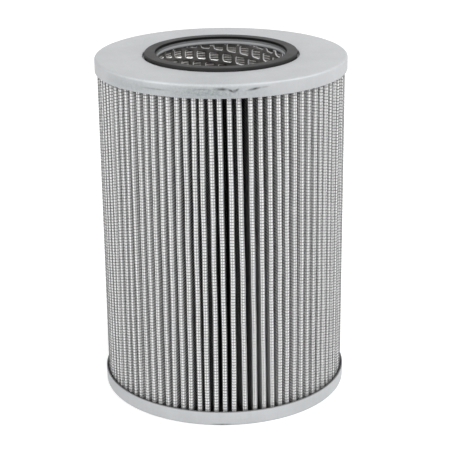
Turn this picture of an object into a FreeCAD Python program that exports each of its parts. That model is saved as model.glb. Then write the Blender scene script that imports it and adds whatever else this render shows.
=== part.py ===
import FreeCAD, Part
import math
import os
import Sketcher

# A pleated hydraulic filter element with one open end. It stands on its closed end,
# with its axis on +Z and the origin at the centre of its underside. Millimetres.

doc = FreeCAD.newDocument("hydraulic_filter")

# Driving dimensions: name, value, what it is
SIZES = [
    ("element_height", 207.7, "underside of the bottom cap to the face of the top cap"),
    ("cap_radius", 75.0, "outside of both end caps"),
    ("cap_sheet", 0.8, "sheet thickness of both end caps"),
    ("cap_bend", 1.0, "bevel that stands for the bend between a cap's face and its skirt"),
    ("top_skirt", 8.2, "depth of the top cap's skirt"),
    ("bottom_skirt", 9.0, "depth of the bottom cap's skirt"),
    ("channel_depth", 3.0, "face of the top cap to the underside of the seal channel"),
    ("collar_radius", 38.2, "inside of the collar round the outlet"),
    ("collar_rise", 0.5, "rim of the collar above the cap's face"),
    ("seal_width", 6.4, "radial width of the seal, from the collar outwards"),
    ("seal_proud", 1.8, "top of the seal above the cap's face"),
    ("seal_edge", 0.7, "bevel of the seal's upper edges"),
    ("seal_clearance", 1.1, "gap between the seal and the channel's outer wall"),
    ("core_step", 1.0, "inside of the core tube outside the collar's outer face"),
    ("core_wall", 0.7, "wall of the core tube"),
    ("core_hole_width", 5.4, "width of a hole in the core tube, round the tube"),
    ("core_hole_height", 4.6, "height of a hole in the core tube"),
    ("core_hole_angle", 72.0, "degrees round the tube from one hole to the next along the strip"),
    ("core_strip_rise", 41.0, "rise of the wound strip in one turn"),
    ("core_plain_end", 6.0, "end of the core tube to the middle of the nearest hole"),
    ("sleeve_wall", 0.5, "wire sleeve round the core tube"),
    ("pack_clearance", 0.3, "gap between the sleeve and the pleats"),
    ("tip_clearance", 0.6, "gap between the pleat tips and the inside of the skirts"),
    ("pleat_count", 86, "pleats in the pack"),
    ("pleat_tip_width", 3.7, "width of a pleat at its tip"),
    ("pleat_tip_rise", 1.0, "height of the low ridge along a pleat's tip"),
    ("mesh_wall", 0.45, "outer wire mesh"),
    ("media_wall", 0.8, "filter media"),
    ("seam_direction", 11.5, "side seam, in degrees from the front (-Y) towards +X"),
    ("seam_angle", 1.2, "degrees by which the gap at the side seam is wider"),
    ("seam_depth", 5.0, "depth of the bonding strip in the seam"),
    ("top_potting_depth", 2.5, "bonding resin below the seal channel"),
    ("bottom_potting_depth", 4.0, "bonding resin over the floor of the bottom cap"),
]

TIP_FLAT_COUNT = 2      # flats across a pleat's tip on the outside of the fold
MIDDLE_FLAT_COUNT = 1   # flats across it on the face between mesh and media
CREASE_FLAT_COUNT = 0   # the inside of the fold is a sharp crease


def fill_sheet():
    """The spreadsheet of driving dimensions, one alias to a row."""
    cells = doc.addObject("Spreadsheet::Sheet", "sizes")
    for row, (alias, value, meaning) in enumerate(SIZES, start=1):
        cells.set(f"A{row}", alias)
        cells.set(f"B{row}", str(value))
        cells.set(f"C{row}", meaning)
        cells.setAlias(f"B{row}", alias)
    doc.recompute()
    return cells


sheet = fill_sheet()


# A place is a tuple of signed aliases that are added up

CAP_INSIDE = ("cap_radius", "-cap_sheet")
FACE = ("element_height",)
FACE_UNDER = FACE + ("-cap_sheet",)
TOP_RIM = FACE + ("-top_skirt",)
CHANNEL_UNDER = FACE + ("-channel_depth",)
CHANNEL_FLOOR = CHANNEL_UNDER + ("cap_sheet",)
COLLAR_TOP = FACE + ("collar_rise",)
COLLAR_IN = ("collar_radius",)
COLLAR_OUT = COLLAR_IN + ("cap_sheet",)
SEAL_TOP = FACE + ("seal_proud",)
SEAL_OUT = COLLAR_OUT + ("seal_width",)
CHANNEL_WALL = SEAL_OUT + ("seal_clearance",)
CHANNEL_WALL_OUT = CHANNEL_WALL + ("cap_sheet",)
CORE_IN = COLLAR_OUT + ("core_step",)
CORE_OUT = CORE_IN + ("core_wall",)
SLEEVE_OUT = CORE_OUT + ("sleeve_wall",)
PACK_IN = SLEEVE_OUT + ("pack_clearance",)
PACK_OUT = CAP_INSIDE + ("-tip_clearance",)
PACK_TOP = CHANNEL_UNDER + ("-top_potting_depth",)
PACK_BOTTOM = ("cap_sheet", "bottom_potting_depth")
AXIS = ()
GROUND = ()


def minus(place):
    """The same place with every sign turned."""
    return tuple(term[1:] if term.startswith("-") else "-" + term for term in place)


PACK_LENGTH = PACK_TOP + minus(PACK_BOTTOM)


def total(*place):
    """The number that a place stands for."""
    return sum(-sheet.get(term[1:]) if term.startswith("-") else sheet.get(term) for term in place)


def formula(place):
    """The expression that binds a feature's size to a place."""
    text = " ".join(f"- sizes.{term[1:]}" if term.startswith("-") else f"+ sizes.{term}" for term in place)
    return text.removeprefix("+ ")


def new_body(name):
    body = doc.addObject("PartDesign::Body", name)
    body.Label = name
    return body


def new_sketch(body, name, role):
    """A sketch on one of the body's own origin planes."""
    sketch = body.newObject("Sketcher::SketchObject", name)
    plane = next(part for part in body.Origin.OriginFeatures if part.Role == role)
    sketch.AttachmentSupport = [(plane, "")]
    sketch.MapMode = "FlatFace"
    return sketch


def bind_distance(sketch, direction, corner, place, value):
    """Hold one coordinate of a sketch point at a place, or on the axis where the place is empty."""
    if not place:
        axis = -2 if direction == "DistanceX" else -1
        sketch.addConstraint(Sketcher.Constraint("PointOnObject", corner, 1, axis))
        return
    index = sketch.addConstraint(Sketcher.Constraint(direction, -1, 1, corner, 1, value))
    sketch.setExpression(f"Constraints[{index}]", formula(place))


def turned_body(name, corners):
    """A body turned about Z from a closed profile whose corners are (radius, height) places."""
    body = new_body(name)
    sketch = new_sketch(body, name + "_profile", "XZ_Plane")
    points = [(total(*radius), total(*height)) for radius, height in corners]
    for index, start in enumerate(points):
        end = points[(index + 1) % len(points)]
        sketch.addGeometry(Part.LineSegment(FreeCAD.Vector(*start, 0), FreeCAD.Vector(*end, 0)))
    for index, (radius, height) in enumerate(corners):
        following = (index + 1) % len(corners)
        sketch.addConstraint(Sketcher.Constraint("Coincident", index, 2, following, 1))
        bind_distance(sketch, "DistanceX", index, radius, points[index][0])
        bind_distance(sketch, "DistanceY", index, height, points[index][1])
    turn = body.newObject("PartDesign::Revolution", name + "_turn")
    turn.Profile = sketch
    turn.ReferenceAxis = (sketch, ["V_Axis"])
    turn.Angle = 360.0
    doc.recompute()
    return body


def ring_edge(feature, radius, height):
    """Name of the feature's round edge at one radius and height."""
    for number, edge in enumerate(feature.Shape.Edges, start=1):
        curve = edge.Curve
        round_edge = isinstance(curve, Part.Circle)
        if round_edge and abs(curve.Radius - radius) < 1e-4 and abs(curve.Center.z - height) < 1e-4:
            return f"Edge{number}"
    raise RuntimeError(f"{feature.Label} has no round edge at {radius}, {height}")


def bevel_edge(body, name, radius, height, size_name):
    """A chamfer along the body's round edge at a radius and a height, given as places."""
    base = body.Tip
    bevel = body.newObject("PartDesign::Chamfer", name)
    bevel.Base = (base, [ring_edge(base, total(*radius), total(*height))])
    bevel.setExpression("Size", f"sizes.{size_name}")
    doc.recompute()


def make_top_end_cap():
    """Pressed cap: skirt, flat face, channel for the seal and a collar round the outlet."""
    body = turned_body("top_end_cap", [
        (("cap_radius",), TOP_RIM),
        (("cap_radius",), FACE),
        (CHANNEL_WALL, FACE),
        (CHANNEL_WALL, CHANNEL_FLOOR),
        (COLLAR_OUT, CHANNEL_FLOOR),
        (COLLAR_OUT, COLLAR_TOP),
        (COLLAR_IN, COLLAR_TOP),
        (COLLAR_IN, CHANNEL_UNDER),
        (CHANNEL_WALL_OUT, CHANNEL_UNDER),
        (CHANNEL_WALL_OUT, FACE_UNDER),
        (CAP_INSIDE, FACE_UNDER),
        (CAP_INSIDE, TOP_RIM),
    ])
    bevel_edge(body, "top_bend", ("cap_radius",), FACE, "cap_bend")
    return body


def make_bottom_end_cap():
    """Pressed cap that closes the lower end: a flat floor with a skirt turned up."""
    body = turned_body("bottom_end_cap", [
        (AXIS, GROUND),
        (("cap_radius",), GROUND),
        (("cap_radius",), ("bottom_skirt",)),
        (CAP_INSIDE, ("bottom_skirt",)),
        (CAP_INSIDE, ("cap_sheet",)),
        (AXIS, ("cap_sheet",)),
    ])
    bevel_edge(body, "bottom_bend", ("cap_radius",), GROUND, "cap_bend")
    return body


def make_seal_ring():
    """Moulded ring that lies in the channel, round the collar."""
    body = turned_body("seal_ring", [
        (SEAL_OUT, CHANNEL_FLOOR),
        (SEAL_OUT, SEAL_TOP),
        (COLLAR_OUT, SEAL_TOP),
        (COLLAR_OUT, CHANNEL_FLOOR),
    ])
    bevel_edge(body, "seal_outer_edge", SEAL_OUT, SEAL_TOP, "seal_edge")
    bevel_edge(body, "seal_inner_edge", COLLAR_OUT, SEAL_TOP, "seal_edge")
    return body


def make_potting(name, inside, low, high):
    """Bonding resin in a cap, from an inside radius out to the skirt, on which the pleats' ends are set."""
    return turned_body(name, [(inside, low), (CAP_INSIDE, low), (CAP_INSIDE, high), (inside, high)])


def make_core_sleeve():
    """Wire drainage sleeve wrapped round the core tube."""
    return turned_body("core_sleeve", [
        (CORE_OUT, PACK_BOTTOM),
        (SLEEVE_OUT, PACK_BOTTOM),
        (SLEEVE_OUT, PACK_TOP),
        (CORE_OUT, PACK_TOP),
    ])


def core_punches():
    """One punch for each hole, set along the helix of the wound strip."""
    reach = total(*SLEEVE_OUT)
    low = total(*PACK_BOTTOM, "core_plain_end")
    high = total(*CHANNEL_UNDER, "-core_plain_end")
    step = sheet.get("core_hole_angle")
    rise = sheet.get("core_strip_rise") * step / 360.0
    width = sheet.get("core_hole_width")
    height = sheet.get("core_hole_height")
    punch = Part.makeBox(reach, width, height, FreeCAD.Vector(0, -width / 2, -height / 2))
    punches = []
    for number in range(int((high - low) / rise) + 1):
        copy = punch.copy()
        spin = FreeCAD.Rotation(FreeCAD.Vector(0, 0, 1), step * number)
        copy.Placement = FreeCAD.Placement(FreeCAD.Vector(0, 0, low + number * rise), spin)
        punches.append(copy)
    return Part.makeCompound(punches)


def make_core_tube():
    """Spiral-wound steel tube with a row of holes along the strip."""
    outside = doc.addObject("Part::Cylinder", "core_outside")
    outside.setExpression("Radius", formula(CORE_OUT))
    bore = doc.addObject("Part::Cylinder", "core_bore")
    bore.setExpression("Radius", formula(CORE_IN))
    for cylinder in (outside, bore):
        cylinder.setExpression("Height", formula(CHANNEL_UNDER + minus(PACK_BOTTOM)))
        cylinder.setExpression("Placement.Base.z", formula(PACK_BOTTOM))
    wall = doc.addObject("Part::Cut", "core_wall_tube")
    wall.Base = outside
    wall.Tool = bore
    punches = doc.addObject("Part::Feature", "core_hole_punches")
    punches.Shape = core_punches()
    tube = doc.addObject("Part::Cut", "core_tube")
    tube.Label = "core_tube"
    tube.Base = wall
    tube.Tool = punches
    doc.recompute()
    return tube


def pleat_pitch():
    """Degrees from one pleat to the next."""
    return (360.0 - sheet.get("seam_angle")) / sheet.get("pleat_count")


def pleat_foot(depth):
    """Where a flank of the sheet's face at this depth meets its root: radius from the axis and half width."""
    half_pitch = math.radians(pleat_pitch() / 2)
    radius = total(*PACK_IN, "mesh_wall", "media_wall") - depth
    return radius * math.cos(half_pitch), radius * math.sin(half_pitch) - depth


def pleat_crown(depth, flats):
    """Points across a pleat's tip on the face at this depth: a ridge, a flat or, with no flats, a crease."""
    reach = total(*PACK_OUT) - depth
    if not flats:
        return [(reach, 0.0)]
    half_width = sheet.get("pleat_tip_width") / 2 - depth
    slope = 2 * sheet.get("pleat_tip_rise") / sheet.get("pleat_tip_width")
    across = [half_width * (2 * step / flats - 1) for step in range(flats + 1)]
    return [(reach - slope * abs(side), side) for side in across]


def polar_point(radius, across, degrees):
    """A point given along and across the ray at an angle from the front, -Y."""
    turn = math.radians(degrees - 90.0)
    return FreeCAD.Vector(
        radius * math.cos(turn) - across * math.sin(turn),
        radius * math.sin(turn) + across * math.cos(turn),
        total(*PACK_BOTTOM),
    )


def folded_face(depth, flats):
    """One face of the folded sheet, pleat after pleat, from one side of the seam round to the other."""
    pitch = pleat_pitch()
    first = sheet.get("seam_direction") + (sheet.get("seam_angle") + pitch) / 2
    foot, foot_half = pleat_foot(depth)
    count = int(sheet.get("pleat_count"))
    points = []
    for number in range(count):
        degrees = first + number * pitch
        if depth > 0 or number == 0:
            points.append(polar_point(foot, -foot_half, degrees))
        points += [polar_point(along, across, degrees) for along, across in pleat_crown(depth, flats)]
        points.append(polar_point(foot, foot_half, degrees))
    return points


def raised_outline(name, points):
    """A piece of the pack's full length raised from a closed outline on the resin."""
    outline = doc.addObject("Part::Feature", name + "_outline")
    outline.Shape = Part.Face(Part.makePolygon(points + points[:1]))
    piece = doc.addObject("Part::Extrusion", name)
    piece.Label = name
    piece.Base = outline
    piece.DirMode = "Custom"
    piece.Dir = FreeCAD.Vector(0, 0, 1)
    piece.Solid = True
    piece.setExpression("LengthFwd", formula(PACK_LENGTH))
    doc.recompute()
    return piece


def make_outer_mesh():
    """Coated wire mesh folded with the media, on its upstream side."""
    outside = folded_face(0.0, TIP_FLAT_COUNT)
    inside = folded_face(sheet.get("mesh_wall"), MIDDLE_FLAT_COUNT)
    return raised_outline("outer_mesh", outside + inside[::-1])


def make_filter_media():
    """Folded glass-fibre media under the mesh."""
    outside = folded_face(sheet.get("mesh_wall"), MIDDLE_FLAT_COUNT)
    inside = folded_face(total("mesh_wall", "media_wall"), CREASE_FLAT_COUNT)
    return raised_outline("filter_media", outside + inside[::-1])


def make_side_seam():
    """Strip of resin that bonds the two end flanks of the folded sheet."""
    foot, foot_half = pleat_foot(0.0)
    tip, tip_half = pleat_crown(0.0, TIP_FLAT_COUNT)[-1]
    share = sheet.get("seam_depth") / (tip - foot)
    top = foot + share * (tip - foot)
    top_half = foot_half + share * (tip_half - foot_half)
    seam = sheet.get("seam_direction")
    beside = (sheet.get("seam_angle") + pleat_pitch()) / 2
    return raised_outline("side_seam", [
        polar_point(foot, foot_half, seam - beside),
        polar_point(foot, -foot_half, seam + beside),
        polar_point(top, -top_half, seam + beside),
        polar_point(top, top_half, seam - beside),
    ])


def check_document():
    """Stop if any object failed to rebuild."""
    for item in doc.Objects:
        if "Invalid" in item.State or "Error" in item.State:
            raise RuntimeError(f"{item.Name} did not rebuild: {item.State}")


def write_pieces(pieces):
    """One STEP file for each piece, named after its label."""
    os.makedirs("parts", exist_ok=True)
    for piece in pieces:
        shape = piece.Shape
        if shape.isNull() or not shape.isValid() or not shape.Solids:
            raise RuntimeError(f"{piece.Label} is not a sound solid")
    for piece in pieces:
        piece.Shape.exportStep(os.path.join("parts", piece.Label + ".step"))
        print(piece.Label, len(piece.Shape.Solids), round(piece.Shape.Volume, 1))


pieces = [
    make_top_end_cap(),
    make_bottom_end_cap(),
    make_seal_ring(),
    make_potting("top_potting", CORE_OUT, PACK_TOP, CHANNEL_UNDER),
    make_potting("bottom_potting", AXIS, ("cap_sheet",), PACK_BOTTOM),
    make_core_tube(),
    make_core_sleeve(),
    make_outer_mesh(),
    make_filter_media(),
    make_side_seam(),
]
doc.recompute()
check_document()
write_pieces(pieces)
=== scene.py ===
import math

import bmesh
import bpy
import numpy as np
from mathutils import Matrix, Vector


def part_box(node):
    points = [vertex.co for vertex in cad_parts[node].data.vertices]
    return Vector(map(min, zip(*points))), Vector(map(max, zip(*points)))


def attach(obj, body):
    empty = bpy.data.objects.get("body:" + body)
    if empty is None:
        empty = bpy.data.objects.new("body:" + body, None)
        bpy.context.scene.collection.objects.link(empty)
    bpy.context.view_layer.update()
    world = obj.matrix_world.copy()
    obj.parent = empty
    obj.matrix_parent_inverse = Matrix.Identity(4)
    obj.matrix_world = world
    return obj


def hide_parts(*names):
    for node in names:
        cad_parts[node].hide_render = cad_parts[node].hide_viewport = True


# A pleated hydraulic filter element: pressed caps, rubber seal, perforated core tube and
# a folded pack of white media under woven wire. Metres, +Z up, the front faces -Y.

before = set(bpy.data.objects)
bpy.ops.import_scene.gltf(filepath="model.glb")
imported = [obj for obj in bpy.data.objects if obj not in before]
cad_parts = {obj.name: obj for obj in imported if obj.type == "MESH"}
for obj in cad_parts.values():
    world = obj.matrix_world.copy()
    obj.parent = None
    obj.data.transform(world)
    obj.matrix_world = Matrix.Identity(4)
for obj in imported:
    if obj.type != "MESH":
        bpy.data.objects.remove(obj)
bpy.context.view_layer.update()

MM = 0.001
RANDOM = np.random.default_rng(86)

# Sizes read from the frame

cap_low, cap_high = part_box("top_end_cap")
base_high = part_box("bottom_end_cap")[1]
seal_low, seal_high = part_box("seal_ring")
core_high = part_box("core_tube")[1]
sleeve_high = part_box("core_sleeve")[1]
pack_low, pack_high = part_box("outer_mesh")

CAP_RADIUS = cap_high.x
TOP_RIM = cap_low.z
COLLAR_TOP = cap_high.z
BASE_RIM = base_high.z
CHANNEL_FLOOR = seal_low.z
CHANNEL_UNDER = core_high.z
SEAL_TOP = seal_high.z
SEAL_OUT = seal_high.x
CORE_OUT = core_high.x
SLEEVE_OUT = sleeve_high.x
PACK_BOTTOM = pack_low.z
PACK_TOP = pack_high.z

# Sizes of the real thing that the frame's boxes don't give, with angles in degrees

SEAL_PROUD = 1.8 * MM
SEAL_ROUND = 0.55 * MM
SEAL_FOOT_ROUND = 0.3 * MM
SEAL_SIDE_GAP = 1.1 * MM
CAP_SHEET = CHANNEL_FLOOR - CHANNEL_UNDER
CAP_BEND = 1.5 * MM
CAP_BEND_INSIDE = CAP_BEND - CAP_SHEET
CHANNEL_BEND = 0.6 * MM
CUT_EDGE = 0.15 * MM
HUB_RADIUS = 0.02 * MM
FACE = SEAL_TOP - SEAL_PROUD
COLLAR_IN = 38.2 * MM
COLLAR_OUT = COLLAR_IN + CAP_SHEET
CHANNEL_WALL = SEAL_OUT + SEAL_SIDE_GAP
CAP_INSIDE = CAP_RADIUS - CAP_SHEET
PACK_SIDE_GAP = 0.6 * MM
PACK_OUT = CAP_INSIDE - PACK_SIDE_GAP
SLEEVE_GAP = 0.3 * MM
PACK_IN = SLEEVE_OUT + SLEEVE_GAP

# The sleeve's cloth: wires round one turn and the pitch of those above each other
CLOTH_WIRES = 250.0
CLOTH_PITCH = 1.5 * MM

# Pleats with a rounded crown; the seam's direction right of the front and its width
PLEATS = 86
PLEAT_HALF = 1.7 * MM
PLEAT_CROWN = 1.15 * MM
SEAM_DIRECTION = 11.5
SEAM_ANGLE = 1.2
MESH_WALL = 0.45 * MM
MEDIA_WALL = 0.8 * MM

# The mesh's level wefts and upright warps, and how far each rises where they cross
WEFT_RADIUS = 0.2 * MM
WARP_RADIUS = 0.115 * MM
WEAVE = 0.08 * MM
WEFT_PITCH = 1.81 * MM
WARP_PITCH = 1.5 * MM

# Depths below the pleats' tips where painted shade darkens the wire and media, more deeply between the
# pleats
LIGHT_DEPTH = 0.3 * MM
WHITE_DEPTH = 1.3 * MM
DARK_DEPTH = 5.5 * MM
GREY_DEPTH = 6.5 * MM
DARKEST_SHADE_DEPTH = 15.0 * MM


def quad_piece(name, points, quads, material, slot, *nodes):
    """A piece made of quads alone, riding on the body, with its finish and the nodes that it replaces."""
    points = np.asarray(points, np.float32).reshape(-1, 3)
    quads = np.asarray(quads, np.int32).reshape(-1, 4)
    mesh = bpy.data.meshes.new(name)
    mesh.vertices.add(len(points))
    mesh.vertices.foreach_set("co", points.ravel())
    mesh.loops.add(quads.size)
    mesh.loops.foreach_set("vertex_index", quads.ravel())
    mesh.polygons.add(len(quads))
    mesh.polygons.foreach_set("loop_start", np.arange(0, quads.size, 4, dtype=np.int32))
    mesh.update(calc_edges=True)
    mesh.validate()
    mesh.polygons.foreach_set("use_smooth", [True] * len(mesh.polygons))
    mesh.materials.append(material)
    piece = bpy.data.objects.new(name, mesh)
    bpy.context.scene.collection.objects.link(piece)
    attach(piece, "root")
    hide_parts(*nodes)
    return piece


def grid_quads(rows, columns, close_rows=False, close_columns=False):
    """Quads over a grid of points numbered row by row, joined round where it closes."""
    row = np.arange(rows if close_rows else rows - 1)[:, None]
    column = np.arange(columns if close_columns else columns - 1)[None, :]
    this_row = row * columns
    next_row = (row + 1) % rows * columns
    beside = (column + 1) % columns
    corners = [this_row + column, this_row + beside, next_row + beside, next_row + column]
    return np.stack(corners, axis=-1).reshape(-1, 4)


def round_axis(turn, radius, height, across=0.0):
    """Places at a turn from the front, a radius and a height, moved across by so much."""
    x = radius * np.sin(turn) + across * np.cos(turn)
    y = across * np.sin(turn) - radius * np.cos(turn)
    return np.stack(np.broadcast_arrays(x, y, height), axis=-1)


# Materials


class Nodes:
    """A short way to write a material's nodes."""

    def __init__(self, name):
        self.material = bpy.data.materials.new(name)
        self.material.use_nodes = True
        self.tree = self.material.node_tree
        self.shader = self.tree.nodes["Principled BSDF"]
        own = self.add("ShaderNodeTexCoord")
        self.place = own.outputs["Object"]
        self.normal = own.outputs["Normal"]

    def add(self, kind, **settings):
        node = self.tree.nodes.new(kind)
        for key, value in settings.items():
            setattr(node, key, value)
        return node

    def put(self, socket, value):
        """Link a socket to another, or set it."""
        if isinstance(value, bpy.types.NodeSocket):
            self.tree.links.new(value, socket)
        else:
            socket.default_value = value

    def maths(self, operation, first, second=0.0):
        node = self.add("ShaderNodeMath", operation=operation)
        self.put(node.inputs[0], first)
        self.put(node.inputs[1], second)
        return node.outputs[0]

    def vector_maths(self, operation, first, second, result="Vector"):
        node = self.add("ShaderNodeVectorMath", operation=operation)
        self.put(node.inputs[0], first)
        self.put(node.inputs[1], second)
        return node.outputs[result]

    def length_of(self, vector):
        node = self.add("ShaderNodeVectorMath", operation="LENGTH")
        self.put(node.inputs[0], vector)
        return node.outputs["Value"]

    def part_of(self, vector, axis):
        """A vector's X, Y or Z."""
        node = self.add("ShaderNodeSeparateXYZ")
        self.put(node.inputs[0], vector)
        return node.outputs[axis]

    def scaled(self, factors):
        """The place, scaled by a factor for each axis."""
        return self.vector_maths("MULTIPLY", self.place, factors)

    def noise(self, scale, detail=4.0, roughness=0.55, vector=None):
        node = self.add("ShaderNodeTexNoise")
        self.put(node.inputs["Vector"], self.place if vector is None else vector)
        self.put(node.inputs["Scale"], scale)
        self.put(node.inputs["Detail"], detail)
        self.put(node.inputs["Roughness"], roughness)
        return node.outputs["Fac"]

    def spread(self, value, low, high, to_low=0.0, to_high=1.0):
        """Map a value from one range to another, held at the ends."""
        node = self.add("ShaderNodeMapRange", clamp=True)
        for socket, number in zip(node.inputs[:5], (value, low, high, to_low, to_high)):
            self.put(socket, number)
        return node.outputs["Result"]

    def blend(self, share, first, second):
        """From the first tone to the second as the share goes from nought to one."""
        node = self.add("ShaderNodeMix", data_type="RGBA")
        self.put(node.inputs["Factor"], share)
        self.put(node.inputs["A"], first)
        self.put(node.inputs["B"], second)
        return node.outputs["Result"]

    def bump(self, height, distance, strength=1.0):
        node = self.add("ShaderNodeBump")
        self.put(node.inputs["Height"], height)
        self.put(node.inputs["Distance"], distance)
        self.put(node.inputs["Strength"], strength)
        self.put(self.shader.inputs["Normal"], node.outputs["Normal"])

    def set(self, **values):
        """Values for the shader's sockets, named as words joined by underscores."""
        for key, value in values.items():
            self.put(self.shader.inputs[key.replace("_", " ")], value)


def grey(level, blue=0.0):
    """A linear colour near grey, a little blue or, below zero, a little warm."""
    return (level * (1 - blue), level, level * (1 + blue), 1.0)


def axis_radius(nodes):
    """Distance from the element's axis."""
    return nodes.length_of(nodes.scaled((1.0, 1.0, 0.0)))


def height_of(nodes):
    """Height above the element's underside."""
    return nodes.part_of(nodes.place, "Z")


# Tones of the caps
ZINC_DULL = grey(0.50, 0.025)
ZINC_PALE = grey(0.555, 0.025)
ZINC_STREAK = grey(0.46, 0.02)
# Painted highlight along the top cap's bend
BEND_HIGHLIGHT_TONE = grey(0.66, 0.02)
# Painted shade on the collar
COLLAR_SHADE_TONE = grey(0.02, 0.03)
GRIME_TONE = (0.22, 0.25, 0.255, 1.0)
# Painted shade just below the base cap's rim
RIM_SHADE_TONE = grey(0.10)
MARK_TONE = grey(0.05)

# Marks on the caps: degrees from the front, height, half length, half height, slope, strength
TOP_MARKS = [
    (0.2, FACE - 2.8 * MM, 4.8 * MM, 0.95 * MM, -0.03, 1.0),
    (4.1, FACE - 3.75 * MM, 2.6 * MM, 0.85 * MM, -0.42, 1.0),
    (6.2, FACE - 3.6 * MM, 1.8 * MM, 0.8 * MM, 0.4, 1.0),
    (5.5, FACE - 4.0 * MM, 1.8 * MM, 1.0 * MM, 0.0, 0.8),
    (14.0, FACE - 3.3 * MM, 4.2 * MM, 0.85 * MM, 0.14, 1.0),
    (18.2, FACE - 2.7 * MM, 3.6 * MM, 0.6 * MM, 0.05, 0.4),
    (-9.0, FACE - 3.0 * MM, 8.0 * MM, 0.6 * MM, 0.0, 0.35),
    (-29.0, FACE - 4.6 * MM, 9.0 * MM, 0.6 * MM, 0.0, 0.4),
]
TOP_GRIME = [
    (-6.0, FACE - 5.2 * MM, 34.0 * MM, 5.6 * MM, 0.0, 1.0),
    (-38.0, FACE - 5.2 * MM, 29.0 * MM, 4.8 * MM, 0.0, 0.62),
]
# A painted highlight along the front of the top cap's bend, in the same columns as the marks
TOP_BEND_HIGHLIGHT = [
    (-20.0, FACE - 0.85 * MM, 52.0 * MM, 0.75 * MM, 0.0, 1.0),
]
BASE_MARKS = [
    (-1.5, 0.9 * MM, 7.0 * MM, 0.7 * MM, 0.0, 0.9),
]

# Shares of a mark's half sizes: as far as this it is full, and here it ends
MARK_FULL = 0.15
MARK_END = 1.2


def marked_share(nodes, marks):
    """How much of each mark lies at a point of the skirt: full at its middle and nought past its edge."""
    share = 0.0
    for degrees, height, length, tall, slope, strength in marks:
        turn = math.radians(degrees)
        tangent = Vector((math.cos(turn), math.sin(turn), 0.0))
        outward = Vector((math.sin(turn), -math.cos(turn), 0.0))
        middle = outward * CAP_RADIUS + Vector((0, 0, height))
        away = nodes.vector_maths("SUBTRACT", nodes.place, middle)
        apart = nodes.add("ShaderNodeCombineXYZ")
        rows = (tangent / length, outward / length, (Vector((0, 0, 1)) - slope * tangent) / tall)
        for socket, row in zip(apart.inputs, rows):
            nodes.put(socket, nodes.vector_maths("DOT_PRODUCT", away, row, "Value"))
        near = nodes.spread(nodes.length_of(apart.outputs[0]), MARK_FULL, MARK_END, strength, 0.0)
        share = nodes.maths("MAXIMUM", share, near)
    return share


def collar_shade(nodes):
    """Share of painted shade on the collar: the seal's shade on its upper half and rim, and shade at its
    foot.
    """
    height = height_of(nodes)
    band = nodes.spread(height, FACE - 1.1 * MM, FACE - 0.7 * MM, 0.0, 0.65)
    rim = nodes.spread(height, COLLAR_TOP - 0.3 * MM, COLLAR_TOP - 0.1 * MM, 0.0, 0.35)
    foot = nodes.spread(height, CHANNEL_UNDER + 1.1 * MM, CHANNEL_UNDER + 0.3 * MM, 0.0, 0.7)
    return nodes.maths("ADD", nodes.maths("ADD", band, rim), foot)


def top_cap_tone(nodes, tone):
    """The top cap's tone: a painted highlight on the bend at the front, painted shade on the collar, grime
    on the skirt.
    """
    # Painted highlight on the front of the bend
    tone = nodes.blend(marked_share(nodes, TOP_BEND_HIGHLIGHT), tone, BEND_HIGHLIGHT_TONE)
    collar = nodes.spread(axis_radius(nodes), SEAL_OUT, SEAL_OUT - MM)
    # Painted shade on the collar, under the seal and at its foot
    collar_shading = nodes.maths("MULTIPLY", collar, collar_shade(nodes))
    tone = nodes.blend(collar_shading, tone, COLLAR_SHADE_TONE)
    patches = nodes.spread(nodes.noise(900.0, 5.0, 0.75), 0.32, 0.66, 0.4, 0.95)
    grime = nodes.maths("MULTIPLY", marked_share(nodes, TOP_GRIME), patches)
    return nodes.blend(grime, tone, GRIME_TONE)


def base_cap_tone(nodes, tone):
    """Painted shade on the base cap: darker just below the top edge of its rim."""
    # Painted shade: darker towards the rim's upper edge
    cut = nodes.spread(height_of(nodes), BASE_RIM - 0.6 * MM, BASE_RIM - 0.1 * MM, 0.0, 0.75)
    return nodes.blend(cut, tone, RIM_SHADE_TONE)


def plated_steel(name, marks, wear_and_painted_light):
    """Zinc-plated sheet: pale, satin, mottled, with drawing streaks, a cap's own grime, painted highlight
    and painted shade, and rub marks.
    """
    nodes = Nodes(name)
    mottle = nodes.noise(38.0, 5.0, 0.6)
    fine = nodes.noise(900.0, 3.0, 0.6)
    streaks = nodes.noise(1.0, 4.0, 0.6, nodes.scaled((700.0, 700.0, 60.0)))
    tone = nodes.blend(nodes.spread(mottle, 0.35, 0.65), ZINC_DULL, ZINC_PALE)
    tone = nodes.blend(nodes.spread(streaks, 0.35, 0.75, 0.0, 0.35), tone, ZINC_STREAK)
    tone = wear_and_painted_light(nodes, tone)
    ragged = nodes.spread(nodes.noise(520.0, 5.0, 0.7), 0.34, 0.56, 0.55, 1.0)
    tone = nodes.blend(nodes.maths("MULTIPLY", marked_share(nodes, marks), ragged), tone, MARK_TONE)
    nodes.set(Base_Color=tone, Metallic=0.35, Roughness=nodes.spread(fine, 0.3, 0.7, 0.50, 0.64))
    nodes.bump(nodes.blend(0.5, fine, streaks), 0.04 * MM, 0.5)
    return nodes.material


def seal_rubber():
    """Matt black rubber with a faint bloom, and painted shade on the inside, against the collar, where it
    also reflects less.
    """
    nodes = Nodes("seal_rubber")
    fine = nodes.noise(1500.0, 3.0, 0.6)
    bloom = nodes.noise(70.0, 4.0, 0.6)
    tone = nodes.blend(nodes.spread(bloom, 0.35, 0.7), grey(0.010, -0.03), grey(0.018, -0.03))
    # Painted shade: the inner wall against the collar is darker and less shiny
    outer = nodes.spread(axis_radius(nodes), COLLAR_OUT + 0.1 * MM, COLLAR_OUT + 0.5 * MM)
    nodes.set(Base_Color=nodes.blend(outer, grey(0.005), tone))
    nodes.set(Specular_IOR_Level=nodes.spread(outer, 0, 1, 0.08, 0.3))
    nodes.set(Roughness=nodes.spread(bloom, 0.3, 0.7, 0.46, 0.6))
    nodes.bump(fine, 0.03 * MM, 0.4)
    return nodes.material


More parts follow.
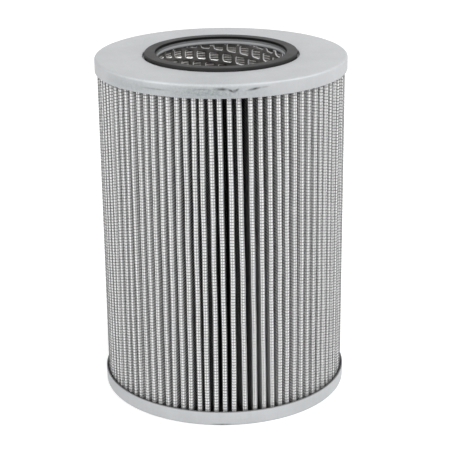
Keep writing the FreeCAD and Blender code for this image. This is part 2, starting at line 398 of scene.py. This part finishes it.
def core_steel():
    """Bare strip, dull, with painted highlights on the holes' rounded edges that face one way round and
    upwards.
    """
    nodes = Nodes("core_steel")
    mottle = nodes.noise(160.0, 5.0, 0.65)
    fine = nodes.noise(1200.0, 3.0, 0.6)
    dull = nodes.blend(nodes.spread(mottle, 0.35, 0.65), grey(0.07, -0.04), grey(0.15, -0.04))
    outward = nodes.scaled((1 / CORE_OUT, 1 / CORE_OUT, 1 / CORE_OUT))
    # Painted highlight: edges facing one way round the tube, and those facing up, get a pale tone; the
    # upward ones are also metallic
    facing_round = nodes.part_of(nodes.vector_maths("CROSS_PRODUCT", nodes.normal, outward), "Z")
    side = nodes.spread(facing_round, 0.15, 0.4)
    lower = nodes.spread(nodes.part_of(nodes.normal, "Z"), 0.25, 0.55, 0.0, 0.95)
    painted_highlight = nodes.maths("MAXIMUM", side, lower)
    nodes.set(Base_Color=nodes.blend(painted_highlight, dull, grey(0.98)), Metallic=lower)
    nodes.set(Roughness=nodes.spread(mottle, 0.3, 0.7, 0.28, 0.42))
    nodes.bump(fine, 0.05 * MM, 0.5)
    return nodes.material


def sleeve_wire():
    """Wire cloth round the core: dark wires both ways over a paler ground."""
    nodes = Nodes("sleeve_wire")
    turn = nodes.maths("ARCTAN2", nodes.part_of(nodes.place, "Y"), nodes.part_of(nodes.place, "X"))
    around = nodes.maths("SINE", nodes.maths("MULTIPLY", turn, CLOTH_WIRES))
    upward = nodes.maths("SINE", nodes.maths("MULTIPLY", height_of(nodes), 2 * math.pi / CLOTH_PITCH))
    upright = nodes.spread(around, 0.3, 0.8, 0.0, 0.35)
    level = nodes.spread(upward, 0.2, 0.7)
    both = nodes.maths("MAXIMUM", upright, level)
    grain = nodes.noise(700.0, 4.0)
    ground = nodes.blend(nodes.spread(grain, 0.3, 0.7), grey(0.38, -0.04), grey(0.62, -0.04))
    nodes.set(Base_Color=nodes.blend(both, ground, grey(0.03)))
    nodes.set(Roughness=nodes.spread(grain, 0.3, 0.7, 0.4, 0.6))
    nodes.bump(both, 0.3 * MM, 0.8)
    return nodes.material


def coated_wire():
    """Wire with a grey resin coat: almost matt, a little uneven in tone, with painted shade that darkens it
    down in the folds.
    """
    nodes = Nodes("coated_wire")
    uneven = nodes.noise(260.0, 3.0)
    fine = nodes.noise(2500.0, 2.0)
    tip = nodes.blend(nodes.spread(uneven, 0.35, 0.65), grey(0.16, 0.01), grey(0.24, 0.01))
    # Painted shade: darker with depth below the pleats' tips
    at_tip = nodes.spread(axis_radius(nodes), PACK_OUT - DARK_DEPTH, PACK_OUT - LIGHT_DEPTH)
    nodes.set(Base_Color=nodes.blend(at_tip, grey(0.015), tip), Specular_IOR_Level=0.15)
    nodes.set(Roughness=nodes.spread(fine, 0.3, 0.7, 0.5, 0.7))
    nodes.bump(fine, 0.03 * MM, 0.4)
    return nodes.material


def glass_fibre():
    """White fibre media: matt and felted, with painted shade that greys it down in the folds."""
    nodes = Nodes("glass_fibre")
    fibres = nodes.noise(1600.0, 5.0, 0.7)
    clouds = nodes.noise(120.0, 3.0)
    white = nodes.blend(nodes.spread(clouds, 0.35, 0.65), grey(0.93), grey(0.97))
    white = nodes.blend(nodes.spread(fibres, 0.3, 0.7, 0.0, 0.2), white, grey(0.88))
    radius = axis_radius(nodes)
    # Painted shade: greyer with depth below the pleats' tips
    shallow = nodes.spread(radius, PACK_OUT - DARKEST_SHADE_DEPTH, PACK_OUT - GREY_DEPTH)
    folds = nodes.blend(shallow, grey(0.32), grey(0.5))
    at_tip = nodes.spread(radius, PACK_OUT - GREY_DEPTH, PACK_OUT - WHITE_DEPTH)
    nodes.set(Base_Color=nodes.blend(at_tip, folds, white))
    nodes.set(Roughness=nodes.spread(fibres, 0.3, 0.7, 0.75, 0.95))
    nodes.bump(fibres, 0.08 * MM, 0.6)
    return nodes.material


def bonding_resin():
    """Dark cast resin with faint swirls."""
    nodes = Nodes("bonding_resin")
    swirl = nodes.noise(55.0, 4.0, 0.6)
    tone = nodes.blend(nodes.spread(swirl, 0.35, 0.65), grey(0.05, -0.05), grey(0.10, -0.05))
    nodes.set(Base_Color=tone, Roughness=nodes.spread(swirl, 0.3, 0.7, 0.25, 0.5))
    nodes.bump(swirl, 0.3 * MM, 0.5)
    return nodes.material


# Turned pieces


def rounded_profile(corners, steps):
    """Points of a closed outline of (radius, height, bend) corners, each bend a true arc."""
    points = []
    for index, (x, y, bend) in enumerate(corners):
        corner = Vector((x, y))
        if not bend:
            points.append(corner)
            continue
        before = Vector(corners[index - 1][:2]) - corner
        after = Vector(corners[(index + 1) % len(corners)][:2]) - corner
        before.normalize()
        after.normalize()
        half = before.angle(after) / 2
        centre = corner + (before + after).normalized() * bend / math.sin(half)
        start = corner + before * bend / math.tan(half) - centre
        end = corner + after * bend / math.tan(half) - centre
        sweep = start.angle_signed(end)
        for step in range(steps + 1):
            turned = Matrix.Rotation(-sweep * step / steps, 2) @ start
            points.append(centre + turned)
    return points


def turned_piece(name, corners, material, slot, *nodes, around=256, steps=6):
    """A ring turned about Z from a closed outline, with so many points round it and steps in a bend."""
    outline = rounded_profile(corners, steps)
    radius = np.array([point.x for point in outline])[None, :]
    height = np.array([point.y for point in outline])[None, :]
    turn = np.linspace(0, 2 * math.pi, around, endpoint=False)[:, None]
    quads = grid_quads(around, len(outline), close_rows=True, close_columns=True)
    piece = quad_piece(name, round_axis(turn, radius, height), quads, material, slot, *nodes)
    face_outwards(piece)


def face_outwards(piece):
    """Turn the faces of a closed piece to its outside."""
    mesh = bmesh.new()
    mesh.from_mesh(piece.data)
    bmesh.ops.recalc_face_normals(mesh, faces=mesh.faces)
    mesh.to_mesh(piece.data)
    mesh.free()


def make_top_cap(material):
    """Pressed cap with its skirt, flat face, seal channel and collar."""
    turned_piece("top_cap_sheet", [
        (CAP_RADIUS, TOP_RIM, CUT_EDGE),
        (CAP_RADIUS, FACE, CAP_BEND),
        (CHANNEL_WALL, FACE, CHANNEL_BEND),
        (CHANNEL_WALL, CHANNEL_FLOOR, CUT_EDGE),
        (COLLAR_OUT, CHANNEL_FLOOR, CUT_EDGE),
        (COLLAR_OUT, COLLAR_TOP, CUT_EDGE),
        (COLLAR_IN, COLLAR_TOP, CUT_EDGE),
        (COLLAR_IN, CHANNEL_UNDER, CHANNEL_BEND),
        (CHANNEL_WALL + CAP_SHEET, CHANNEL_UNDER, CHANNEL_BEND),
        (CHANNEL_WALL + CAP_SHEET, FACE - CAP_SHEET, CUT_EDGE),
        (CAP_INSIDE, FACE - CAP_SHEET, CAP_BEND_INSIDE),
        (CAP_INSIDE, TOP_RIM, CUT_EDGE),
    ], material, "plated_steel", "top_end_cap", around=320)


def make_base_cap(material):
    """Pressed cap that closes the lower end; its floor runs in to a pinhole at the centre."""
    turned_piece("base_cap_sheet", [
        (HUB_RADIUS, 0.0, 0.0),
        (CAP_RADIUS, 0.0, CAP_BEND),
        (CAP_RADIUS, BASE_RIM, CUT_EDGE),
        (CAP_INSIDE, BASE_RIM, CUT_EDGE),
        (CAP_INSIDE, CAP_SHEET, CAP_BEND_INSIDE),
        (HUB_RADIUS, CAP_SHEET, 0.0),
    ], material, "plated_steel", "bottom_end_cap", around=320)


def make_seal(material):
    """Rubber ring that lies in the channel against the collar and stands proud of the face."""
    turned_piece("seal_moulding", [
        (SEAL_OUT, CHANNEL_FLOOR, SEAL_FOOT_ROUND),
        (SEAL_OUT, SEAL_TOP, SEAL_ROUND),
        (COLLAR_OUT, SEAL_TOP, SEAL_ROUND),
        (COLLAR_OUT, CHANNEL_FLOOR, SEAL_FOOT_ROUND),
    ], material, "seal_rubber", "seal_ring", steps=8)


# Perforated core tube

# The strip's rise in a turn, and its rows of holes, each a third of a cell aside from the one below
CORE_WALL = 0.7 * MM
CORE_MEAN = CORE_OUT - CORE_WALL / 2
STRIP_RISE = 41.0 * MM
STRIP_ROWS = 6
ROW_RISE = STRIP_RISE / STRIP_ROWS
ROW_SHIFT = -1 / 3
ROW_START = FACE - 31.9 * MM
HOLES_A_TURN = 31
HOLE_TURN = 2 * math.pi / HOLES_A_TURN
HOLE_WIDTH = 5.4 * MM
HOLE_HEIGHT = 4.6 * MM
HOLE_CORNER = 0.9 * MM
CORNER_POINTS = 3

# How far the hole's rounded edge lies outside the hole on the tube's outer and inner faces
EDGE_OUT = -0.2 * MM
EDGE_IN = 0.8 * MM
EDGE_STEPS = 4

# Points of neighbouring cells closer than this become one
WELD = 0.01 * MM


def rounded_rectangle(width, height, corner):
    """Points round a rounded rectangle, anticlockwise from its right side."""
    points = []
    for quarter in range(4):
        middle = (quarter + 0.5) * math.pi / 2
        x = math.copysign(width / 2 - corner, math.cos(middle))
        y = math.copysign(height / 2 - corner, math.sin(middle))
        for step in range(CORNER_POINTS):
            angle = (quarter + step / (CORNER_POINTS - 1)) * math.pi / 2
            points.append((x + corner * math.cos(angle), y + corner * math.sin(angle)))
    return np.array(points)


def cell_border(width, height):
    """Twelve points round a cell; they meet those of the rows above and below, a third of a cell aside."""
    corner = np.array([(3, 1), (3, 3), (1, 3)])
    turned = corner[::-1]
    points = np.concatenate([corner, turned * (-1, 1), corner * (-1, -1), turned * (1, -1)])
    return points * (width / 6, height / 6)


def cell_loops():
    """Loops of points with their radii: the border outside, the hole's round edge, the border inside."""
    border = cell_border(HOLE_TURN * CORE_MEAN, ROW_RISE)
    loops = [(border, CORE_OUT)]
    for step in range(EDGE_STEPS + 1):
        swing = math.pi / 2 * step / EDGE_STEPS
        wide = EDGE_OUT + (EDGE_IN - EDGE_OUT) * (1 - math.cos(swing))
        hole = rounded_rectangle(HOLE_WIDTH + 2 * wide, HOLE_HEIGHT + 2 * wide, HOLE_CORNER + wide)
        loops.append((hole, CORE_OUT - CORE_WALL * math.sin(swing)))
    loops.append((border, CORE_OUT - CORE_WALL))
    return loops


def hole_places():
    """Turn and height of every hole's middle, along each row of the strip and a little past both ends."""
    low = int((PACK_BOTTOM - ROW_START) / ROW_RISE) - STRIP_ROWS - 2
    high = int((CHANNEL_UNDER - ROW_START) / ROW_RISE) + 2
    for row in range(low, high):
        stagger = row * ROW_SHIFT % 1.0
        for column in range(HOLES_A_TURN):
            turn = (column + stagger) * HOLE_TURN
            height = ROW_START + row * ROW_RISE + STRIP_RISE * turn / (2 * math.pi)
            if PACK_BOTTOM - ROW_RISE < height < CHANNEL_UNDER + ROW_RISE:
                yield turn, height


def make_core(material):
    """Spiral-wound tube: one cell of sheet with a round-edged hole, repeated at every hole's place."""
    loops = cell_loops()
    count = len(loops[0][0])
    ring = grid_quads(len(loops), count, close_columns=True)
    points, quads, start = [], [], 0
    for turn, height in hole_places():
        for loop, radius in loops:
            angle = turn + loop[:, 0] / CORE_MEAN
            level = height + loop[:, 1] + STRIP_RISE * loop[:, 0] / (2 * math.pi * CORE_MEAN)
            points.append(round_axis(angle, radius, level))
        quads.append(ring + start)
        start += len(loops) * count
    piece = quad_piece("core_perforated", np.concatenate(points), np.concatenate(quads), material,
                       "core_steel", "core_tube")
    trim_core(piece)


def trim_core(piece):
    """Weld the cells and cut the tube square at both ends."""
    mesh = bmesh.new()
    mesh.from_mesh(piece.data)
    bmesh.ops.remove_doubles(mesh, verts=mesh.verts, dist=WELD)
    for height, side in ((CHANNEL_UNDER, 1), (PACK_BOTTOM, -1)):
        everything = mesh.verts[:] + mesh.edges[:] + mesh.faces[:]
        bmesh.ops.bisect_plane(mesh, geom=everything, plane_co=(0, 0, height), plane_no=(0, 0, side),
                               clear_outer=True)
    rim = [edge for edge in mesh.edges if edge.is_boundary]
    bmesh.ops.holes_fill(mesh, edges=rim, sides=0)
    bmesh.ops.recalc_face_normals(mesh, faces=mesh.faces)
    mesh.to_mesh(piece.data)
    mesh.free()


# Folded pack

STATIONS = 20
PITCH = (360.0 - SEAM_ANGLE) / PLEATS
FIRST = SEAM_DIRECTION + (SEAM_ANGLE + PITCH) / 2
FOOT = PACK_IN + (MESH_WALL + MEDIA_WALL)

# How far the tips stand aside from their roots, in degrees: crowded left of the front, a little open
# about it, fading out at the back, and each with a small scatter of its own
CROWDING = 1.7
CROWD_FROM = -2.0
CROWD_OVER = 40.0
OPENING = 0.5
OPEN_FROM = 3.0
OPEN_WIDTH = 6.0
OPEN_END = 18.0
OPEN_FADE = 10.0
BACK_FADE = 90.0
TIP_SCATTER = 0.16
TIP_LIMIT = 0.32

# How far the tips right of the front lean to the left at the top of the pack, in degrees
LEAN = -1.75
LEAN_CENTRE = 14.0
LEAN_SPREAD = 24.0
LEAN_POWER = 1.6

# Waves of the tips between the caps; both their turns are in radians over the pack's height
BOW = 0.3 * MM
RIPPLE = 0.10 * MM
SLOW_RIPPLE = 9.0
QUICK_RIPPLE = 23.0

# Scatter of the weft rows from one pleat to the next, in pitches
ROW_SCATTER = 0.16


def from_front(degrees):
    """The same direction between -180 and 180 degrees."""
    return (degrees + 180.0) % 360.0 - 180.0


def pleat_directions():
    """Degrees of each pleat's root, and of its tip at the foot of the pack."""
    roots = FIRST + PITCH * np.arange(PLEATS)
    front = from_front(roots)
    share = np.clip((CROWD_FROM - front) / CROWD_OVER, 0, 1)
    fading = np.clip((front + 180.0) / BACK_FADE, 0, 1)
    fading = np.where(front < CROWD_FROM - CROWD_OVER, fading, 1.0)
    crowded = CROWDING * share * fading
    ending = np.exp(-(np.clip(front - OPEN_END, 0, None) / OPEN_FADE) ** 2)
    opened = OPENING * np.tanh((front - OPEN_FROM) / OPEN_WIDTH) * fading * ending
    scatter = np.clip(RANDOM.normal(0.0, TIP_SCATTER, PLEATS), -TIP_LIMIT, TIP_LIMIT)
    return roots, roots + crowded + opened + scatter


ROOTS, TIPS = pleat_directions()
WAVES = RANDOM.uniform(0, 2 * math.pi, (3, PLEATS))
WARP_SHIFT = RANDOM.uniform(-0.5, 0.5, PLEATS)
ROW_DRIFT = np.cumsum(RANDOM.normal(0.0, ROW_SCATTER, PLEATS))
ROW_DRIFT -= np.linspace(ROW_DRIFT[0], ROW_DRIFT[-1], PLEATS)

# The two pleats left of the seam part towards their feet: how far, and how the parting fades upwards
PARTED_BY = np.zeros(PLEATS)
PARTED_BY[-2:] = -0.6 * MM, 0.75 * MM
PARTED_POWER = np.ones(PLEATS)
PARTED_POWER[-2:] = 3.0, 0.6


def sideways(pleat, height):
    """How far a pleat's tip leans to one side at a height, in radians."""
    share = np.clip((height - PACK_BOTTOM) / (PACK_TOP - PACK_BOTTOM), 0, 1)
    front = from_front(TIPS[pleat]) - LEAN_CENTRE
    lean = math.radians(LEAN) * np.exp(-(front / LEAN_SPREAD) ** 2) * share ** LEAN_POWER
    held = np.sin(math.pi * share)
    bow = BOW * held * np.sin(WAVES[0][pleat])
    slow = np.sin(SLOW_RIPPLE * share + WAVES[1][pleat])
    quick = np.sin(QUICK_RIPPLE * share + WAVES[2][pleat])
    ripple = RIPPLE * held * (slow + quick)
    parted = PARTED_BY[pleat] * (1 - share) ** PARTED_POWER[pleat]
    return lean + (bow + ripple + parted) / PACK_OUT


def pleat_point(pleat, radius, across, height):
    """World places of points given along and across a pleat; the arguments are arrays that fit together."""
    share = np.clip((radius - FOOT) / (PACK_OUT - FOOT), 0, 1)
    straight = np.radians(ROOTS[pleat] + (TIPS[pleat] - ROOTS[pleat]) * share)
    return round_axis(straight + sideways(pleat, height) * share, radius, height, across)


def pleat_outline(depth, crown_steps):
    """Radius and offset across, from root over the crown to root, on the face at a depth in the sheet."""
    half = PLEAT_HALF - depth
    rise = PLEAT_CROWN * half / PLEAT_HALF
    shoulder = PACK_OUT - depth - rise
    swing = np.linspace(-math.pi / 2, math.pi / 2, crown_steps + 1)
    root = FOOT * math.sin(math.radians(PITCH / 2)) - depth
    radius = np.concatenate([[FOOT - depth], shoulder + rise * np.cos(swing), [FOOT - depth]])
    across = np.concatenate([[-root], half * np.sin(swing), [root]])
    return radius, across


def make_media(material):
    """The white sheet, a closed solid folded from one side of the seam round to the other."""
    height = np.linspace(PACK_BOTTOM, PACK_TOP, STATIONS)[:, None, None]
    pleat = np.arange(PLEATS)[None, :, None]
    faces = []
    for depth in (MESH_WALL, MESH_WALL + MEDIA_WALL):
        radius, across = pleat_outline(depth, crown_steps=8)
        faces.append(pleat_point(pleat, radius[None, None, :], across[None, None, :], height))
    outside, inside = [face.reshape(STATIONS, -1, 3) for face in faces]
    points = np.concatenate([outside, inside[:, ::-1]], axis=1)
    columns = points.shape[1]
    skin = grid_quads(STATIONS, columns, close_columns=True)
    first = np.arange(columns // 2 - 1)
    last = columns - 1 - first
    foot = np.stack([first, first + 1, last - 1, last], axis=-1)
    head = foot + (STATIONS - 1) * columns
    piece = quad_piece("media_folds", points, np.concatenate([skin, foot, head]), material,
                       "glass_fibre", "filter_media")
    face_outwards(piece)


# Woven wires over the pleats: level wefts and upright warps

WIRE_SIDES = 3

# Length along the sheet from the crown to the shoulder, and the warps on the flank beyond it
SHOULDER = 2.35 * MM
FLANK_WARPS = 4
FLANK_START = 0.3
FLANK_STATIONS = 10

# The step for a slope, and what keeps a length of nought from dividing
SLOPE_STEP = 0.02 * MM
TINY = 1e-12


def wires(paths, across, outward, radius):
    """Points and quads of open tubes along paths; both directions square to the path are given."""
    count, length = paths.shape[:2]
    turn = 2 * math.pi * np.arange(WIRE_SIDES) / WIRE_SIDES
    offset = np.cos(turn)[:, None] * outward[..., None, :] + np.sin(turn)[:, None] * across[..., None, :]
    points = paths[..., None, :] + radius * offset
    skin = grid_quads(length, WIRE_SIDES, close_columns=True)
    starts = np.arange(count)[:, None, None] * (length * WIRE_SIDES)
    return points.reshape(-1, 3), (skin[None] + starts).reshape(-1, 4)


def crown_lengths():
    """Length along the middle of the mesh from the crown, with the radius and offset there."""
    radius, across = pleat_outline(MESH_WALL / 2, crown_steps=48)
    length = np.concatenate([[0], np.cumsum(np.hypot(np.diff(radius), np.diff(across)))])
    return length - length[-1] / 2, radius, across


LENGTHS, LENGTH_RADIUS, LENGTH_ACROSS = crown_lengths()


def along_sheet(length):
    """Radius and offset at a length along the sheet from the crown."""
    return np.interp(length, LENGTHS, LENGTH_RADIUS), np.interp(length, LENGTHS, LENGTH_ACROSS)


def on_sheet(length, lift=0.0):
    """Radius and offset at a length along the sheet from the crown, lifted off it by so much."""
    radius, across = along_sheet(length)
    next_radius, next_across = along_sheet(length + SLOPE_STEP)
    last_radius, last_across = along_sheet(length - SLOPE_STEP)
    outwards = next_radius - last_radius
    sidewards = next_across - last_across
    size = np.hypot(outwards, sidewards) + TINY
    return radius + lift * sidewards / size, across - lift * outwards / size


def row_heights(pleat):
    """Heights of the weft wires that cross a pleat."""
    first = PACK_BOTTOM + (0.5 + ROW_DRIFT[pleat] % 1.0) * WEFT_PITCH
    return first + WEFT_PITCH * np.arange(int((PACK_TOP - first) / WEFT_PITCH))


def pleat_wires(pleat):
    """Woven wires over one pleat: its wefts, the warps over its tip and those down its flanks."""
    rows = row_heights(pleat)
    turns = np.where(np.arange(len(rows)) % 2, 1.0, -1.0)
    warps = (WARP_SHIFT[pleat] + np.array([-1.0, 0.0, 1.0])) * WARP_PITCH
    yield level_wires(pleat, warps, rows, turns)
    sign = np.array([-1.0, 1.0, -1.0])
    radius, across = on_sheet(warps[:, None], WEAVE * sign[:, None] * turns[None, :])
    yield upright_wires(pleat, radius, across, rows[None, :])
    down = SHOULDER + WARP_PITCH * (np.arange(FLANK_WARPS) + FLANK_START)
    flank = np.concatenate([-down, down])[:, None]
    heights = np.linspace(PACK_BOTTOM, PACK_TOP, FLANK_STATIONS)[None, :]
    radius, across = on_sheet(flank + 0 * heights)
    yield upright_wires(pleat, radius, across, heights)


def level_wires(pleat, warps, rows, turns):
    """Wefts from root to root over one pleat, each in turn over and under the warps at its tip."""
    left, middle, right = warps
    root = LENGTHS[-1]
    stops = np.array([-root, -SHOULDER, left, (left + middle) / 2, middle, (middle + right) / 2, right,
                      SHOULDER, root])
    over = np.array([0.0, 0.0, 1.0, 0.0, -1.0, 0.0, 1.0, 0.0, 0.0])
    radius, across = on_sheet(stops[None, :], WEAVE * over[None, :] * turns[:, None])
    paths = pleat_point(pleat, radius, across, rows[:, None])
    along = np.gradient(paths, axis=1)
    along[..., 2] = 0
    along /= np.linalg.norm(along, axis=-1, keepdims=True) + TINY
    side = np.stack([along[..., 1], -along[..., 0], np.zeros(along.shape[:-1])], axis=-1)
    upward = np.broadcast_to(np.array([0.0, 0.0, 1.0]), side.shape)
    return wires(paths, upward, side, WEFT_RADIUS)


def upright_wires(pleat, radius, across, heights):
    """Warps up one pleat through points given along it, across it and in height."""
    paths = pleat_point(pleat, radius, across, heights + 0 * radius)
    outward = paths * np.array([1.0, 1.0, 0.0])
    outward /= np.linalg.norm(outward, axis=-1, keepdims=True)
    side = np.stack([-outward[..., 1], outward[..., 0], np.zeros(outward.shape[:-1])], axis=-1)
    return wires(paths, side, outward, WARP_RADIUS)


def make_wire_mesh(material):
    """The woven wires, in one piece for each quarter of the pack."""
    for number, share in enumerate(np.array_split(np.arange(PLEATS), 4)):
        points, quads, start = [], [], 0
        for pleat in share:
            for wire_points, wire_quads in pleat_wires(pleat):
                points.append(wire_points)
                quads.append(wire_quads + start)
                start += len(wire_points)
        quad_piece(f"wire_cloth_{number + 1}", np.concatenate(points), np.concatenate(quads), material,
                   "coated_wire", "outer_mesh")


def dress_node(name, material):
    """A CAD solid that stays as it is and gets its finish."""
    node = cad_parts[name]
    node.data.materials.clear()
    node.data.materials.append(material)


# Floor, light and camera

FLOOR_SIZE = 12.0
FLOOR_PLACE = (0.0, 2.0, 0.0)
FLOOR_TONE = 0.62
FLOOR_GLOW = 0.62
WORLD_LIGHT = 0.62
LAMP_AIM = (0.0, 0.0, 0.11)

# The camera, fitted to the outlines of both caps; its angles are in radians
PHOTO_SIZE = 452
FOCAL_PIXELS = 1433.19
CAMERA_PLACE = (0.0, -0.834588, 0.397944)
CAMERA_DOWN = 0.343967
CAMERA_TURN = 0.002279
CAMERA_TILT = -0.010967


def make_floor():
    """Pale floor that shows white to the camera and keeps the element's shadow."""
    bpy.ops.mesh.primitive_plane_add(size=FLOOR_SIZE, location=FLOOR_PLACE)
    floor = bpy.context.object
    floor.name = "floor"
    nodes = Nodes("floor")
    nodes.set(Base_Color=grey(FLOOR_TONE), Roughness=0.9, Specular_IOR_Level=0.0)
    glow = nodes.add("ShaderNodeEmission")
    nodes.put(glow.inputs["Color"], (1, 1, 1, 1))
    nodes.put(glow.inputs["Strength"], nodes.maths("MULTIPLY", seen_rays(nodes.tree), FLOOR_GLOW))
    both = nodes.add("ShaderNodeAddShader")
    nodes.put(both.inputs[0], nodes.shader.outputs[0])
    nodes.put(both.inputs[1], glow.outputs[0])
    nodes.put(nodes.tree.nodes["Material Output"].inputs["Surface"], both.outputs[0])
    floor.data.materials.append(nodes.material)


def seen_rays(tree):
    """One where the camera, a reflection or a transmitted ray looks, nought for other rays."""
    path = tree.nodes.new("ShaderNodeLightPath")
    share = path.outputs["Is Camera Ray"]
    for name in ("Is Glossy Ray", "Is Transmission Ray"):
        either = tree.nodes.new("ShaderNodeMath")
        either.operation = "MAXIMUM"
        tree.links.new(share, either.inputs[0])
        tree.links.new(path.outputs[name], either.inputs[1])
        share = either.outputs[0]
    return share


def make_world():
    """White round about to whoever looks, and a softer light on the element."""
    world = bpy.data.worlds.new("studio")
    bpy.context.scene.world = world
    world.use_nodes = True
    tree = world.node_tree
    background = tree.nodes["Background"]
    background.inputs["Color"].default_value = (1, 1, 1, 1)
    level = tree.nodes.new("ShaderNodeMapRange")
    tree.links.new(seen_rays(tree), level.inputs["Value"])
    level.inputs["To Min"].default_value = WORLD_LIGHT
    level.inputs["To Max"].default_value = 1.0
    tree.links.new(level.outputs[0], background.inputs["Strength"])


def make_lamp(name, place, size, power):
    """A round lamp that faces the middle of the element and stays out of the picture."""
    light = bpy.data.lights.new(name, "AREA")
    light.shape = "DISK"
    light.size = size
    light.energy = power
    lamp = bpy.data.objects.new(name, light)
    lamp.location = place
    aim = Vector(LAMP_AIM) - Vector(place)
    lamp.rotation_euler = aim.to_track_quat("-Z", "Y").to_euler()
    lamp.visible_camera = False
    bpy.context.scene.collection.objects.link(lamp)


def make_lamps():
    """Four lamps, each with its place, size across and power."""
    make_lamp("right", (1.75, -0.35, 1.35), 1.2, 17.0)
    make_lamp("left", (-1.6, -0.9, 0.6), 1.0, 9.0)
    make_lamp("front", (0.0, -1.9, 0.5), 1.0, 8.0)
    make_lamp("overhead", (0.55, -0.35, 1.7), 0.9, 5.0)


def make_camera():
    """Camera where the photo's camera stood."""
    data = bpy.data.cameras.new("camera")
    data.sensor_width = 36.0
    data.lens = data.sensor_width * FOCAL_PIXELS / PHOTO_SIZE
    camera = bpy.data.objects.new("camera", data)
    ahead = Vector((
        math.sin(CAMERA_TURN) * math.cos(CAMERA_DOWN),
        math.cos(CAMERA_TURN) * math.cos(CAMERA_DOWN),
        -math.sin(CAMERA_DOWN),
    ))
    right = Vector((math.cos(CAMERA_TURN), -math.sin(CAMERA_TURN), 0.0))
    up = right.cross(ahead)
    side = math.cos(CAMERA_TILT) * right + math.sin(CAMERA_TILT) * up
    top = -math.sin(CAMERA_TILT) * right + math.cos(CAMERA_TILT) * up
    axes = Matrix((side, top, -ahead)).transposed()
    camera.matrix_world = Matrix.Translation(CAMERA_PLACE) @ axes.to_4x4()
    bpy.context.scene.collection.objects.link(camera)
    bpy.context.scene.camera = camera


bpy.context.scene.view_settings.view_transform = "Standard"
make_floor()
make_world()
make_lamps()
make_camera()
make_top_cap(plated_steel("plated_steel_top", TOP_MARKS, top_cap_tone))
make_base_cap(plated_steel("plated_steel_base", BASE_MARKS, base_cap_tone))
make_seal(seal_rubber())
make_core(core_steel())
make_media(glass_fibre())
make_wire_mesh(coated_wire())
resin = bonding_resin()
dress_node("core_sleeve", sleeve_wire())
dress_node("side_seam", resin)
dress_node("top_potting", resin)
dress_node("bottom_potting", resin)
